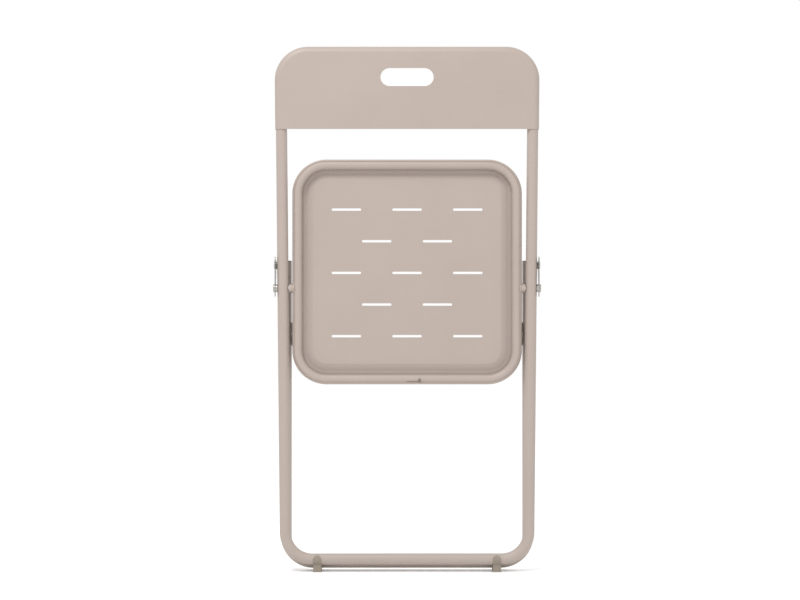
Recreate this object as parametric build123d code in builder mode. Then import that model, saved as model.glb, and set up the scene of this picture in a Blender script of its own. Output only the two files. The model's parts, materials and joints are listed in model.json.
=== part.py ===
from build123d import *
import os
from math import cos, radians, sin

# Folding chair, folded flat and standing on its feet. Millimetres. +X right, +Y back, +Z up.
# The origin is on the floor, midway between the sides and between the two frames.

# ---- driving dimensions -------------------------------------------------------------------------
# Tubes and sheet
frame_radius = 9.5           # main and leg frame tubes
ring_radius = 7.8            # seat ring tube
tube_wall = 1.2
sheet = 1.2                  # backrest and seat sheet
wrap_gap = 0.03              # between a wrapped sheet and its tube
frame_gap = 3.0              # between the tubes of the two folded frames
frame_bend = 46.0            # bend radius of both frames

# Main frame, measured on the tube's axis
main_half_top = 214.0
main_half_low = 206.0
main_axis_low = 21.0
main_axis_top = 878.5

# Leg frame
leg_half = 206.0
leg_axis_low = 13.0
leg_pivot_z = 519.0
leg_end_margin = 6.0         # tube above the pivot, short enough to turn behind the main tube

# Seat
seat_half_width = 185.5
seat_low = 326.0
seat_high = 689.0
seat_bend = 49.0
seat_pivot_z = 480.0
wrap_angle = 50.0            # how far the seat sheet is rolled past the ring's outermost line
dish_margin = 14.0
dish_slope = 12.0
dish_depth = 3.5
slot_length = 50.0
slot_width = 4.0
slot_pitch_x = 103.0
slot_pitch_z = 53.7
slot_middle_z = 506.0

# Backrest
panel_low = 749.0
handle_length = 90.0
handle_height = 31.0
handle_z = 837.0
handle_lip = 5.0

# Pivots and rivets
pin_radius = 4.0
running_gap = 0.05
side_gap = 0.3
boss_radius = 6.8
boss_sink = 2.2              # how deep the boss enters the ring
head_radius = 7.0
head_height = 2.5
head_round = 1.2
stand_off = 2.5              # plate to main tube
plate_thickness = 1.5
plate_half_width = 6.5
plate_overrun = 8.0          # how far the plate runs past the two pins, above and below
stop_z = 402.0
stop_height = 1.4            # how far the stop stands in from the leg tube
stop_length = 40.0
stop_width = 12.0
stop_round = 1.0
cap_height = 2.0
cap_round = 1.5

# Feet
foot_x = 152.0
foot_length = 14.0
foot_wall = 1.2
foot_pad_half = 6.5
foot_tongue_radius = 7.0

# ---- worked out ---------------------------------------------------------------------------------
frame_spacing = 2 * frame_radius + frame_gap
main_y = -frame_spacing / 2
leg_y = frame_spacing / 2
leg_top = leg_pivot_z + leg_end_margin
seat_middle_z = (seat_low + seat_high) / 2
seat_height = seat_high - seat_low

os.makedirs("parts", exist_ok=True)
made = []


def save(piece, label):
    """Names a finished piece and writes it."""
    piece.part.label = label
    export_step(piece.part, f"parts/{label}.step")
    made.append(label)


def main_half_at(height):
    """Half spacing of the main frame's tubes at a height: they lean slightly apart upwards."""
    share = (height - main_axis_low) / (main_axis_top - main_axis_low)
    return main_half_low + share * (main_half_top - main_half_low)


def widest_main_half(low, high):
    """The larger half spacing of the main frame's tubes between two heights."""
    return max(main_half_at(low), main_half_at(high))


def outward_plane(line, middle_z):
    """The plane across a tube path's start, with its X pointing away from the loop's middle."""
    start = line @ 0
    along = line % 0
    away = start - Vector(0, start.Y, middle_z)
    away = (away - along * away.dot(along)).normalized()
    return Plane(origin=start, x_dir=away, z_dir=along)


def front_way(plane):
    """1 where the plane's Y points to the front of the chair, or -1 where it points to the back."""
    return -1 if plane.y_dir.Y > 0 else 1


def tube_section(radius):
    """A tube's ring-shaped section, drawn in the sketch that is open."""
    Circle(radius)
    Circle(radius - tube_wall, mode=Mode.SUBTRACT)


def wrap_section(radius, front_angle, front_sign):
    """Section of a sheet rolled round a tube, from straight behind it to front_angle in front."""
    reach = 3 * radius
    Circle(radius + wrap_gap + sheet)
    Circle(radius + wrap_gap, mode=Mode.SUBTRACT)
    end_x = reach * cos(radians(front_angle))
    end_y = reach * sin(radians(front_angle)) * front_sign
    corner = (reach, reach * front_sign) if front_angle > 60 else (reach, end_y)
    with BuildLine(Plane.XY) as sector:
        Polyline(
            (0, 0),
            (0, -reach * front_sign),
            (reach, -reach * front_sign),
            corner,
            (end_x, end_y),
            close=True,
        )
    make_face(sector.edges(), mode=Mode.INTERSECT)


# ---- main frame ---------------------------------------------------------------------------------
seat_pivot_x = main_half_at(seat_pivot_z)
with BuildPart() as main_frame_tube:
    with BuildLine(Plane.XZ.offset(-main_y)) as main_path:
        FilletPolyline(
            (main_half_low, main_axis_low),
            (main_half_top, main_axis_top),
            (-main_half_top, main_axis_top),
            (-main_half_low, main_axis_low),
            radius=frame_bend,
            close=True,
        )
    with BuildSketch(Plane(origin=main_path.line @ 0, z_dir=main_path.line % 0)):
        tube_section(frame_radius)
    sweep(path=main_path.line)
    with BuildSketch(Plane.YZ):
        with Locations((main_y, seat_pivot_z)):
            Circle(pin_radius)
    extrude(amount=max(main_half_low, main_half_top) + frame_radius, both=True, mode=Mode.SUBTRACT)
save(main_frame_tube, "main_frame_tube")

# ---- backrest: a flat sheet whose edge is rolled round the main frame's top bend -----------------
panel_half_low = main_half_at(panel_low)
panel_front_y = main_y - frame_radius - wrap_gap
with BuildPart() as backrest_panel:
    with BuildSketch(Plane.XZ.offset(-panel_front_y)) as panel_outline:
        with BuildLine():
            FilletPolyline(
                (-panel_half_low, panel_low),
                (-main_half_top, main_axis_top),
                (main_half_top, main_axis_top),
                (panel_half_low, panel_low),
                radius=frame_bend,
            )
            Line((panel_half_low, panel_low), (-panel_half_low, panel_low))
        make_face()
    extrude(amount=sheet)
    with BuildLine(Plane.XZ.offset(-main_y)) as panel_path:
        FilletPolyline(
            (-panel_half_low, panel_low),
            (-main_half_top, main_axis_top),
            (main_half_top, main_axis_top),
            (panel_half_low, panel_low),
            radius=frame_bend,
        )
    panel_edge = outward_plane(panel_path.line, panel_low)
    with BuildSketch(panel_edge):
        wrap_section(frame_radius, 90, front_way(panel_edge))
    sweep(path=panel_path.line)
    with BuildSketch(Plane.XZ.offset(-panel_front_y)):
        with Locations((0, handle_z)):
            SlotOverall(handle_length + 2 * sheet, handle_height + 2 * sheet)
    extrude(amount=-handle_lip)
    with BuildSketch(Plane.XZ.offset(-panel_front_y - handle_lip)):
        with Locations((0, handle_z)):
            SlotOverall(handle_length, handle_height)
    extrude(amount=handle_lip + sheet, both=True, mode=Mode.SUBTRACT)
save(backrest_panel, "backrest_panel")

# ---- leg frame: a U of tube behind the main frame, open at the top -------------------------------
with BuildPart() as leg_frame_tube:
    with BuildLine(Plane.XZ.offset(-leg_y)) as leg_path:
        FilletPolyline(
            (-leg_half, leg_top),
            (-leg_half, leg_axis_low),
            (leg_half, leg_axis_low),
            (leg_half, leg_top),
            radius=frame_bend,
        )
    with BuildSketch(Plane(origin=leg_path.line @ 0, z_dir=leg_path.line % 0)):
        tube_section(frame_radius)
    sweep(path=leg_path.line)
    with BuildSketch(Plane.YZ):
        with Locations((leg_y, leg_pivot_z)):
            Circle(pin_radius + running_gap)
        with Locations((leg_y, stop_z)):
            Circle(pin_radius)
    extrude(amount=leg_half + frame_radius, both=True, mode=Mode.SUBTRACT)
save(leg_frame_tube, "leg_frame_tube")

# ---- seat ring ----------------------------------------------------------------------------------
ring_outside = seat_half_width + ring_radius
boss_inner_x = ring_outside - boss_sink
with BuildPart() as seat_ring_tube:
    with BuildLine(Plane.XZ.offset(-main_y)) as ring_path:
        FilletPolyline(
            (seat_half_width, seat_low),
            (seat_half_width, seat_high),
            (-seat_half_width, seat_high),
            (-seat_half_width, seat_low),
            radius=seat_bend,
            close=True,
        )
    with BuildSketch(Plane(origin=ring_path.line @ 0, z_dir=ring_path.line % 0)):
        tube_section(ring_radius)
    sweep(path=ring_path.line)
    for side in (-1, 1):
        with BuildSketch(Plane.YZ.offset(side * boss_inner_x)):
            with Locations((main_y, seat_pivot_z)):
                Circle(boss_radius)
        extrude(amount=side * 2 * ring_radius, mode=Mode.SUBTRACT)
save(seat_ring_tube, "seat_ring_tube")

# ---- seat pan: a slotted, pressed sheet rolled round the outside of the ring ---------------------
pan_y = main_y + ring_radius + wrap_gap
dish_width = 2 * seat_half_width - 2 * dish_margin
dish_height = seat_height - 2 * dish_margin
dish_corner = seat_bend - dish_margin
with BuildPart() as seat_pan:
    with BuildSketch(Plane.XZ.offset(-pan_y)):
        with Locations((0, seat_middle_z)):
            RectangleRounded(2 * seat_half_width, seat_height, seat_bend)
    extrude(amount=-sheet)
    for depth, way in ((pan_y, Mode.ADD), (pan_y + sheet, Mode.SUBTRACT)):
        with BuildSketch(Plane.XZ.offset(-depth)):
            with Locations((0, seat_middle_z)):
                RectangleRounded(dish_width, dish_height, dish_corner)
        with BuildSketch(Plane.XZ.offset(-depth + dish_depth)):
            with Locations((0, seat_middle_z)):
                RectangleRounded(
                    dish_width - 2 * dish_slope, dish_height - 2 * dish_slope, dish_corner - dish_slope
                )
        loft(mode=way)
    pan_edge = outward_plane(ring_path.line, seat_middle_z)
    with BuildSketch(pan_edge):
        wrap_section(ring_radius, wrap_angle, front_way(pan_edge))
    sweep(path=ring_path.line)
    with BuildSketch(Plane.XZ.offset(-pan_y - sheet)):
        for row in range(-2, 3):
            columns = (-1, 0, 1) if row % 2 == 0 else (-0.5, 0.5)
            for column in columns:
                with Locations((column * slot_pitch_x, slot_middle_z + row * slot_pitch_z)):
                    SlotOverall(slot_length, slot_width)
    extrude(amount=2 * dish_depth + sheet, mode=Mode.SUBTRACT)
    for side in (-1, 1):
        with BuildSketch(Plane.YZ.offset(side * boss_inner_x)):
            with Locations((main_y, seat_pivot_z)):
                Circle(boss_radius)
        extrude(amount=side * 2 * ring_radius, mode=Mode.SUBTRACT)
save(seat_pan, "seat_pan")

# ---- side hardware ------------------------------------------------------------------------------
plate_low = seat_pivot_z - plate_overrun
plate_high = leg_pivot_z + plate_overrun
plate_widest = widest_main_half(plate_low - plate_half_width, plate_high + plate_half_width)
plate_x = plate_widest + frame_radius + stand_off
boss_outer_x = seat_pivot_x - frame_radius - side_gap
washer_widest = widest_main_half(seat_pivot_z - plate_half_width, seat_pivot_z + plate_half_width)
washer_seat_x = washer_widest + frame_radius
pin_inner_x = boss_inner_x + running_gap
leg_pin_inner_x = leg_half - frame_radius + running_gap
for side, name in ((-1, "left"), (1, "right")):
    # Boss on the seat ring that turns on the seat pivot pin
    with BuildPart() as boss:
        with BuildSketch(Plane.YZ.offset(side * boss_inner_x)):
            with Locations((main_y, seat_pivot_z)):
                Circle(boss_radius)
                Circle(pin_radius + running_gap, mode=Mode.SUBTRACT)
        extrude(amount=side * (boss_outer_x - boss_inner_x))
    save(boss, f"seat_pivot_boss_{name}")

    # Pins with domed heads outside the plate: the seat's in the main tube, the leg's behind it
    pins = (
        ("seat_pivot_pin", main_y, seat_pivot_z, pin_inner_x),
        ("leg_pivot_pin", leg_y, leg_pivot_z, leg_pin_inner_x),
    )
    for pin_name, pin_y, pin_z, inner_x in pins:
        with BuildPart() as pin:
            with BuildSketch(Plane.YZ.offset(side * inner_x)):
                with Locations((pin_y, pin_z)):
                    Circle(pin_radius)
            extrude(amount=side * (plate_x + plate_thickness - inner_x))
            with BuildSketch(Plane.YZ.offset(side * (plate_x + plate_thickness))):
                with Locations((pin_y, pin_z)):
                    Circle(head_radius)
            extrude(amount=side * head_height)
            crown = pin.faces().sort_by(Axis.X)[-1 if side > 0 else 0]
            fillet(crown.edges(), radius=head_round)
        save(pin, f"{pin_name}_{name}")

    # Plate that joins the two pins outside the main tube
    with BuildPart() as plate:
        with BuildSketch(Plane.YZ.offset(side * plate_x)):
            with BuildLine():
                Polyline((main_y, plate_low), (main_y, plate_high), (leg_y, leg_pivot_z), close=True)
            make_face()
            offset(amount=plate_half_width)
            with Locations((main_y, seat_pivot_z), (leg_y, leg_pivot_z)):
                Circle(pin_radius, mode=Mode.SUBTRACT)
        extrude(amount=side * plate_thickness)
    save(plate, f"pivot_plate_{name}")

    # Washers that hold the plate off the tubes
    washers = (
        ("seat_pin_washer", main_y, seat_pivot_z, washer_seat_x),
        ("leg_pin_washer", leg_y, leg_pivot_z, leg_half + frame_radius + side_gap),
    )
    for washer_name, washer_y, washer_z, inner_x in washers:
        with BuildPart() as washer:
            with BuildSketch(Plane.YZ.offset(side * inner_x)):
                with Locations((washer_y, washer_z)):
                    Circle(plate_half_width)
                    Circle(pin_radius, mode=Mode.SUBTRACT)
            extrude(amount=side * (plate_x - inner_x))
        save(washer, f"{washer_name}_{name}")

    # Stop on the inside of the leg tube: a long rounded plate with its rivet across the tube
    with BuildPart() as stop:
        with BuildSketch(Plane.YZ.offset(side * (leg_half + frame_radius))):
            with Locations((leg_y, stop_z)):
                Circle(pin_radius)
        extrude(amount=-side * 2 * frame_radius)
        with BuildSketch(Plane.YZ.offset(side * (leg_half - frame_radius))):
            with Locations((leg_y, stop_z)):
                SlotOverall(stop_length, stop_width, rotation=90)
        extrude(amount=-side * stop_height)
        face = stop.faces().sort_by(Axis.X)[0 if side > 0 else -1]
        fillet(face.edges(), radius=stop_round)
    save(stop, f"leg_stop_{name}")

    # Domed cap on the open top of the leg tube
    with BuildPart() as cap:
        with BuildSketch(Plane.XY.offset(leg_top)):
            with Locations((side * leg_half, leg_y)):
                Circle(frame_radius)
        extrude(amount=cap_height)
        fillet(cap.faces().sort_by(Axis.Z)[-1].edges(), radius=cap_round)
    save(cap, f"leg_end_cap_{name}")

# ---- feet: clips round the floor bars, each with a pad down to the floor --------------------------
bars = (("main_frame_foot", main_y, main_axis_low), ("leg_frame_foot", leg_y, leg_axis_low))
for label, bar_y, bar_z in bars:
    for side, name in ((-1, "left"), (1, "right")):
        with BuildPart() as foot:
            with BuildSketch(Plane.YZ.offset(side * foot_x - foot_length / 2)):
                with Locations((bar_y, bar_z)):
                    Circle(frame_radius + foot_wall)
                with Locations((bar_y, bar_z / 2)):
                    Rectangle(2 * foot_pad_half, bar_z)
                with Locations((bar_y, bar_z)):
                    Circle(frame_radius, mode=Mode.SUBTRACT)
            extrude(amount=foot_length)
            with BuildSketch(Plane.XZ.offset(-bar_y)):
                with Locations((side * foot_x, bar_z)):
                    Circle(foot_tongue_radius)
                with Locations((side * foot_x, bar_z / 2)):
                    Rectangle(foot_length, bar_z)
            extrude(amount=2 * frame_radius, both=True, mode=Mode.INTERSECT)
        save(foot, f"{label}_{name}")

print(len(made), "pieces")
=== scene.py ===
import json
import math

import bmesh
import bpy
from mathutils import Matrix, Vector


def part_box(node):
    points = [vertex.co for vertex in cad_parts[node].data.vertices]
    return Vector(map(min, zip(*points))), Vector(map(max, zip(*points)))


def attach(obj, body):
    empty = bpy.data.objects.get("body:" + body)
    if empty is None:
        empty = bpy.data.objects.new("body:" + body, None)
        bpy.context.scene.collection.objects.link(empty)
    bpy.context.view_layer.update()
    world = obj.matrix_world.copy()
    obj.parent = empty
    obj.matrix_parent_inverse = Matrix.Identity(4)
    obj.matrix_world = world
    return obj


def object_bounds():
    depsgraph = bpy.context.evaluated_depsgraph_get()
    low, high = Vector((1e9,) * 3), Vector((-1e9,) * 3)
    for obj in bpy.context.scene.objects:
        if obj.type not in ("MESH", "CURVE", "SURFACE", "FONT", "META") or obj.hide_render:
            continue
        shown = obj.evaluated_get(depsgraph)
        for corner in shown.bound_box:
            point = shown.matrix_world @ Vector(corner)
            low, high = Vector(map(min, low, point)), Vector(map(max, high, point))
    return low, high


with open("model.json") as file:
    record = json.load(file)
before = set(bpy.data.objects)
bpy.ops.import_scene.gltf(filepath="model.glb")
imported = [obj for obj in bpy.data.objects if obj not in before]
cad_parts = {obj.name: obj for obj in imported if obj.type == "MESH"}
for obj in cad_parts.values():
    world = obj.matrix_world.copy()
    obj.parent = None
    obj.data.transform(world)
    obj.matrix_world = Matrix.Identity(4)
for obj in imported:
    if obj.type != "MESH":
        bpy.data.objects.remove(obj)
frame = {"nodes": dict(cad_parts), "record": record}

cad_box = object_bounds()

CAMERA_DISTANCE = 3.6
FIELD_HEIGHT = 1.020          # what the camera takes in at the chair, top to bottom
VIEW_SHAPE = 800 / 600
SENSOR_WIDTH = 36.0
CAMERA_SIDE = -0.012
CAMERA_HEIGHT = 0.460
LIGHT_TARGET = (0, 0, 0.45)
FLOOR_HALF_SIZE = 9.0
FLOOR_BELOW = 0.0005          # keeps the floor clear of the feet


# ---- shader maths -------------------------------------------------------------------------------
class Value:
    """A shader socket that can be added, subtracted and multiplied."""

    def __init__(self, shader, socket):
        self.shader = shader
        self.socket = socket

    def maths(self, operation, first, second):
        return self.shader.node("ShaderNodeMath", {"operation": operation}, {0: first, 1: second})[0]

    def __add__(self, other):
        return self.maths("ADD", self, other)

    def __radd__(self, other):
        return self.maths("ADD", other, self)

    def __sub__(self, other):
        return self.maths("SUBTRACT", self, other)

    def __rsub__(self, other):
        return self.maths("SUBTRACT", other, self)

    def __mul__(self, other):
        return self.maths("MULTIPLY", self, other)

    def __rmul__(self, other):
        return self.maths("MULTIPLY", other, self)


class Shader:
    """One material and the nodes that make it."""

    def __init__(self, name):
        self.material = bpy.data.materials.new(name)
        self.material.use_nodes = True
        self.tree = self.material.node_tree
        self.surface = self.tree.nodes["Principled BSDF"]
        self.place = self.node("ShaderNodeTexCoord", {}, {})["Object"]

    def node(self, kind, settings, inputs):
        """Adds a node, sets it, and fills its sockets with values or links."""
        node = self.tree.nodes.new(kind)
        for key, setting in settings.items():
            setattr(node, key, setting)
        for key, value in inputs.items():
            self.fill(node.inputs[key], value)
        return Outputs(self, node)

    def fill(self, socket, value):
        if isinstance(value, Value):
            self.tree.links.new(value.socket, socket)
        else:
            socket.default_value = value

    def noise(self, scale, detail=2.0, roughness=0.5):
        inputs = {"Vector": self.place, "Scale": scale, "Detail": detail, "Roughness": roughness}
        return self.node("ShaderNodeTexNoise", {}, inputs)["Fac"]

    def mix(self, amount, first, second):
        """Blends two colours: sockets 6 and 7 of the Mix node are its colours, output 2 the blend."""
        inputs = {0: amount, 6: first, 7: second}
        return self.node("ShaderNodeMix", {"data_type": "RGBA"}, inputs)[2]

    def ramp(self, amount, low, high):
        """0 below low, 1 above high, straight between."""
        inputs = {"Value": amount, "From Min": low, "From Max": high}
        return self.node("ShaderNodeMapRange", {}, inputs)["Result"]

    def bump(self, height, strength, distance):
        inputs = {"Height": height, "Strength": strength, "Distance": distance}
        return self.node("ShaderNodeBump", {}, inputs)["Normal"]

    def set(self, **inputs):
        for key, value in inputs.items():
            self.fill(self.surface.inputs[key.replace("_", " ")], value)


class Outputs:
    """A node's outputs, each handed out as a Value."""

    def __init__(self, shader, node):
        self.shader = shader
        self.node = node

    def __getitem__(self, key):
        return Value(self.shader, self.node.outputs[key])


# ---- finishes -----------------------------------------------------------------------------------
COAT_DARK = (0.344, 0.286, 0.252, 1)
COAT_LIGHT = (0.378, 0.317, 0.281, 1)
COAT_RUBBED = (0.408, 0.349, 0.312, 1)


def powder_coat():
    """Satin powder coat: a soft orange peel over a slightly uneven warm beige."""
    shader = Shader("powder_coat")
    cloud = shader.noise(9.0, 3.0)
    peel = shader.noise(520.0, 2.0)
    grain = shader.noise(2600.0, 1.0)
    rubbed = shader.ramp(shader.noise(38.0, 6.0, 0.7), 0.60, 0.78) * 0.30
    coat = shader.mix(cloud, COAT_DARK, COAT_LIGHT)
    shader.set(
        Base_Color=shader.mix(rubbed, coat, COAT_RUBBED),
        Roughness=0.36 + 0.14 * cloud + 0.06 * grain,
        Normal=shader.bump(peel + 0.35 * grain, 0.22, 0.0004),
    )
    return shader.material


def bright_zinc():
    """Zinc-plated steel with fine drawn scratches."""
    shader = Shader("bright_zinc")
    mottle = shader.noise(160.0, 3.0)
    scratches = shader.noise(1800.0, 2.0)
    colour = shader.mix(mottle, (0.30, 0.28, 0.265, 1), (0.44, 0.42, 0.395, 1))
    shader.set(
        Base_Color=colour,
        Metallic=1.0,
        Roughness=0.24 + 0.16 * mottle,
        Normal=shader.bump(scratches, 0.12, 0.0002),
    )
    return shader.material


def moulded_plastic():
    """Moulded grey-brown plastic with a fine spark texture."""
    shader = Shader("moulded_plastic")
    flow = shader.noise(70.0, 2.0)
    spark = shader.noise(1500.0, 2.0)
    colour = shader.mix(flow, (0.215, 0.183, 0.145, 1), (0.250, 0.213, 0.170, 1))
    shader.set(
        Base_Color=colour,
        Roughness=0.50 + 0.15 * spark,
        Normal=shader.bump(spark, 0.30, 0.0003),
    )
    return shader.material


def gap_shade_and_dust(name, shadow, shade_dust_colour):
    """Painted shade for a gap between painted edges: a dark colour stands in for the gap's shadow,
    mottled with a lighter dust colour.
    """
    shader = Shader(name)
    dust = shader.noise(900.0, 2.0)
    shader.set(
        Base_Color=shader.mix(dust, shadow, shade_dust_colour),
        Roughness=0.75 + 0.15 * dust,
        Normal=shader.bump(dust, 0.20, 0.0002),
    )
    return shader.material


FINISHES = {"paint": powder_coat(), "bright_steel": bright_zinc(), "plastic": moulded_plastic()}


def finish_cad_nodes():
    """Gives every carried-over node the finish of its slot."""
    for part in frame["record"]["subparts"]:
        node = frame["nodes"][part["node"]]
        node.data.materials.clear()
        node.data.materials.append(FINISHES[part["material_slot"]])


finish_cad_nodes()


# ---- welds, and the seam and notch in painted shade ---------------------------------------------
MILLIMETRE = 0.001
WELD_THICKNESS = 1.3 * MILLIMETRE
WELD_RIPPLES = 16
RIPPLE_STEPS = 6
RIPPLE_SWELL = 0.15
SEAM_THICKNESS = 0.45 * MILLIMETRE
SEAM_LENGTH = 24 * MILLIMETRE
SEAM_ABOVE = 4.4 * MILLIMETRE          # from the ring tube's lowest line
NOTCH_SIDE = 21 * MILLIMETRE
NOTCH_WIDTH = 6.0 * MILLIMETRE
NOTCH_HEIGHT = 7.0 * MILLIMETRE
NOTCH_THICKNESS = 0.8 * MILLIMETRE
SIDES = (("left", -1), ("right", 1))
RING_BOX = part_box("seat_ring_tube")
PAN_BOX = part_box("seat_pan")
RING_RADIUS = (RING_BOX[1].y - RING_BOX[0].y) / 2
RING_DEPTH = (RING_BOX[1].y + RING_BOX[0].y) / 2
RING_LOW = RING_BOX[0].z + RING_RADIUS


def make_piece(name, shape, finish):
    """Turns a finished bmesh into a smooth piece of the seat."""
    mesh = bpy.data.meshes.new(name)
    for face in shape.faces:
        face.smooth = True
    shape.to_mesh(mesh)
    shape.free()
    mesh.materials.append(finish)
    piece = bpy.data.objects.new(name, mesh)
    bpy.context.collection.objects.link(piece)
    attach(piece, "seat")


def bead_round_x(around, thickness, ripples):
    """A ring of weld bead round the X axis, with the ripples that the pool left as it froze."""
    shape = bmesh.new()
    bmesh.ops.create_circle(shape, cap_ends=False, segments=10, radius=thickness)
    bmesh.ops.translate(shape, verts=shape.verts, vec=(0, around, 0))
    bmesh.ops.spin(
        shape, geom=shape.verts[:] + shape.edges[:], cent=(0, 0, 0), axis=(1, 0, 0), dvec=(0, 0, 0),
        angle=math.tau, steps=RIPPLE_STEPS * ripples, use_merge=True,
    )
    for vert in shape.verts:
        wave = 1 + math.cos(ripples * math.atan2(vert.co.z, vert.co.y))
        vert.co.x *= 1 + RIPPLE_SWELL * wave
    bmesh.ops.recalc_face_normals(shape, faces=shape.faces)
    return shape


def boss_welds():
    """Each boss is welded to the rolled side of the seat, so its bead follows the tube's curve."""
    wrapped_radius = PAN_BOX[1].x - RING_BOX[1].x + RING_RADIUS
    tube_axis = RING_BOX[1].x - RING_RADIUS
    for name, side in SIDES:
        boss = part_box(f"seat_pivot_boss_{name}")
        boss_radius = (boss[1].z - boss[0].z) / 2
        shape = bead_round_x(boss_radius, WELD_THICKNESS, WELD_RIPPLES)
        for vert in shape.verts:
            reach = min(abs(vert.co.y), boss_radius)
            vert.co.x += side * (tube_axis + math.sqrt(wrapped_radius ** 2 - reach ** 2))
        place = (0, RING_DEPTH, (boss[1].z + boss[0].z) / 2)
        bmesh.ops.translate(shape, verts=shape.verts, vec=place)
        make_piece(f"boss_weld_{name}", shape, FINISHES["paint"])


def ring_front(side, above):
    """A point on the front of the ring's lower run, at a height above its lowest line."""
    drop = RING_RADIUS - above
    return (side, RING_DEPTH - math.sqrt(RING_RADIUS ** 2 - drop ** 2), RING_LOW - drop)


def ring_join():
    """The rolled sheet's ends meet below the seat's edge: a short gap with a notch at its end, both
    drawn as dark pieces in painted shade.
    """
    seam = bmesh.new()
    bmesh.ops.create_uvsphere(seam, u_segments=12, v_segments=8, radius=SEAM_THICKNESS)
    for vert in seam.verts:
        vert.co.x += math.copysign(SEAM_LENGTH / 2, vert.co.x) if abs(vert.co.x) > 1e-7 else 0
    bmesh.ops.translate(seam, verts=seam.verts, vec=ring_front(SEAM_LENGTH / 2, SEAM_ABOVE))
    # Painted shade: the seam is a dark bead whose colour stands in for the shadow in the gap between
    # the sheet's ends.
    gap = gap_shade_and_dust("seam_gap_shade", (0.045, 0.035, 0.030, 1), (0.110, 0.088, 0.074, 1))
    make_piece("ring_join_seam", seam, gap)

    notch = bmesh.new()
    bmesh.ops.create_uvsphere(notch, u_segments=20, v_segments=12, radius=0.5)
    bmesh.ops.scale(notch, verts=notch.verts, vec=(NOTCH_WIDTH, NOTCH_THICKNESS, NOTCH_HEIGHT))
    notch_above = SEAM_ABOVE + NOTCH_HEIGHT / 4
    bmesh.ops.translate(notch, verts=notch.verts, vec=ring_front(NOTCH_SIDE, notch_above))
    # Painted shade: the notch's colour, a little darker than the coat, stands in for the shade inside
    # the hollow.
    hollow = gap_shade_and_dust("notch_hollow_shade", (0.150, 0.125, 0.105, 1), (0.215, 0.180, 0.152, 1))
    make_piece("ring_join_notch", notch, hollow)


boss_welds()
ring_join()


# ---- stage, light and camera --------------------------------------------------------------------
def plain_material(name, colour, glow):
    material = bpy.data.materials.new(name)
    material.use_nodes = True
    surface = material.node_tree.nodes["Principled BSDF"]
    surface.inputs["Base Color"].default_value = colour
    surface.inputs["Roughness"].default_value = 0.9
    surface.inputs["Emission Color"].default_value = (1, 1, 1, 1)
    surface.inputs["Emission Strength"].default_value = glow
    return material


def floor():
    shape = bmesh.new()
    bmesh.ops.create_grid(shape, x_segments=1, y_segments=1, size=FLOOR_HALF_SIZE)
    bmesh.ops.translate(shape, verts=shape.verts, vec=(0, 0, cad_box[0][2] - FLOOR_BELOW))
    mesh = bpy.data.meshes.new("floor")
    shape.to_mesh(mesh)
    shape.free()
    mesh.materials.append(plain_material("pale_floor", (0.93, 0.93, 0.93, 1), 0.10))
    piece = bpy.data.objects.new("floor", mesh)
    bpy.context.collection.objects.link(piece)


def soft_light(name, place, power, size):
    lamp = bpy.data.lights.new(name, "AREA")
    lamp.energy = power
    lamp.size = size
    holder = bpy.data.objects.new(name, lamp)
    bpy.context.collection.objects.link(holder)
    holder.location = place
    aim = Vector(LIGHT_TARGET) - holder.location
    holder.rotation_euler = aim.to_track_quat("-Z", "Y").to_euler()


def white_room(strength):
    world = bpy.data.worlds.new("white_room")
    world.use_nodes = True
    sky = world.node_tree.nodes["Background"]
    sky.inputs["Color"].default_value = (1, 1, 1, 1)
    sky.inputs["Strength"].default_value = strength
    bpy.context.scene.world = world
    bpy.context.scene.view_settings.view_transform = "Standard"


def camera():
    lens = bpy.data.cameras.new("camera")
    lens.sensor_width = SENSOR_WIDTH
    lens.lens = SENSOR_WIDTH * CAMERA_DISTANCE / (FIELD_HEIGHT * VIEW_SHAPE)
    holder = bpy.data.objects.new("camera", lens)
    holder.location = (CAMERA_SIDE, -CAMERA_DISTANCE, CAMERA_HEIGHT)
    holder.rotation_euler = (math.pi / 2, 0, 0)
    bpy.context.collection.objects.link(holder)
    bpy.context.scene.camera = holder


floor()
white_room(1.0)
soft_light("key_above", (-0.9, -1.5, 2.8), 42, 1.0)
soft_light("fill_right", (2.2, -2.2, 1.4), 8, 1.8)
camera()
